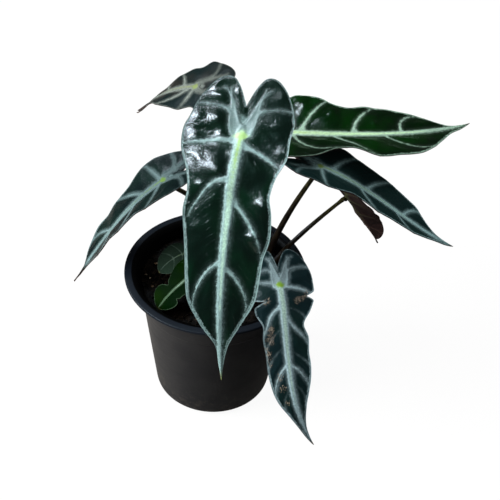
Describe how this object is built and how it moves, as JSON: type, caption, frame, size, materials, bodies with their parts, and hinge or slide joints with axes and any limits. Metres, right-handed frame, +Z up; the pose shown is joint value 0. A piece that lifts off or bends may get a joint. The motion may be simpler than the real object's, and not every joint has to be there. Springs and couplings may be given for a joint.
{
  "type": "potted alocasia",
  "caption": "Alocasia with long shield-shaped leaves, pale veins and thin dark stalks, growing from soil in a round black nursery pot with a flat lip.",
  "frame": {"origin": "middle of the pot's underside, on the ground", "axes": "+Z up along the pot's axis, -Y towards the viewer of the picture, +X to the viewer's right"},
  "size_m": [0.2825, 0.2583, 0.2533],
  "materials": {
    "pot": "satin moulded plastic, near black",
    "soil": "dark crumbly potting soil with light specks",
    "crown": "dry brown stem",
    "stalk": "smooth dark brown and olive stalk",
    "leaf": "glossy near-black green with pale mint veins and edge",
    "young_leaf": "satin green with pale veins and edge"
  },
  "bodies": {
    "root": {"pot": "pot", "soil": "soil", "crown": "crown", "stalk_front": "stalk", "stalk_back_right": "stalk", "stalk_right": "stalk", "stalk_right_low": "stalk", "stalk_front_right": "stalk", "stalk_left": "stalk", "stalk_back_left": "stalk", "stalk_young_upper": "stalk", "stalk_young_lower": "stalk", "leaf_front": "leaf", "leaf_back_right": "leaf", "leaf_right": "leaf", "leaf_right_low": "leaf", "leaf_front_right": "leaf", "leaf_left": "leaf", "leaf_back_left": "leaf", "leaf_young_upper": "young_leaf", "leaf_young_lower": "young_leaf"}
  },
  "joints": []
}
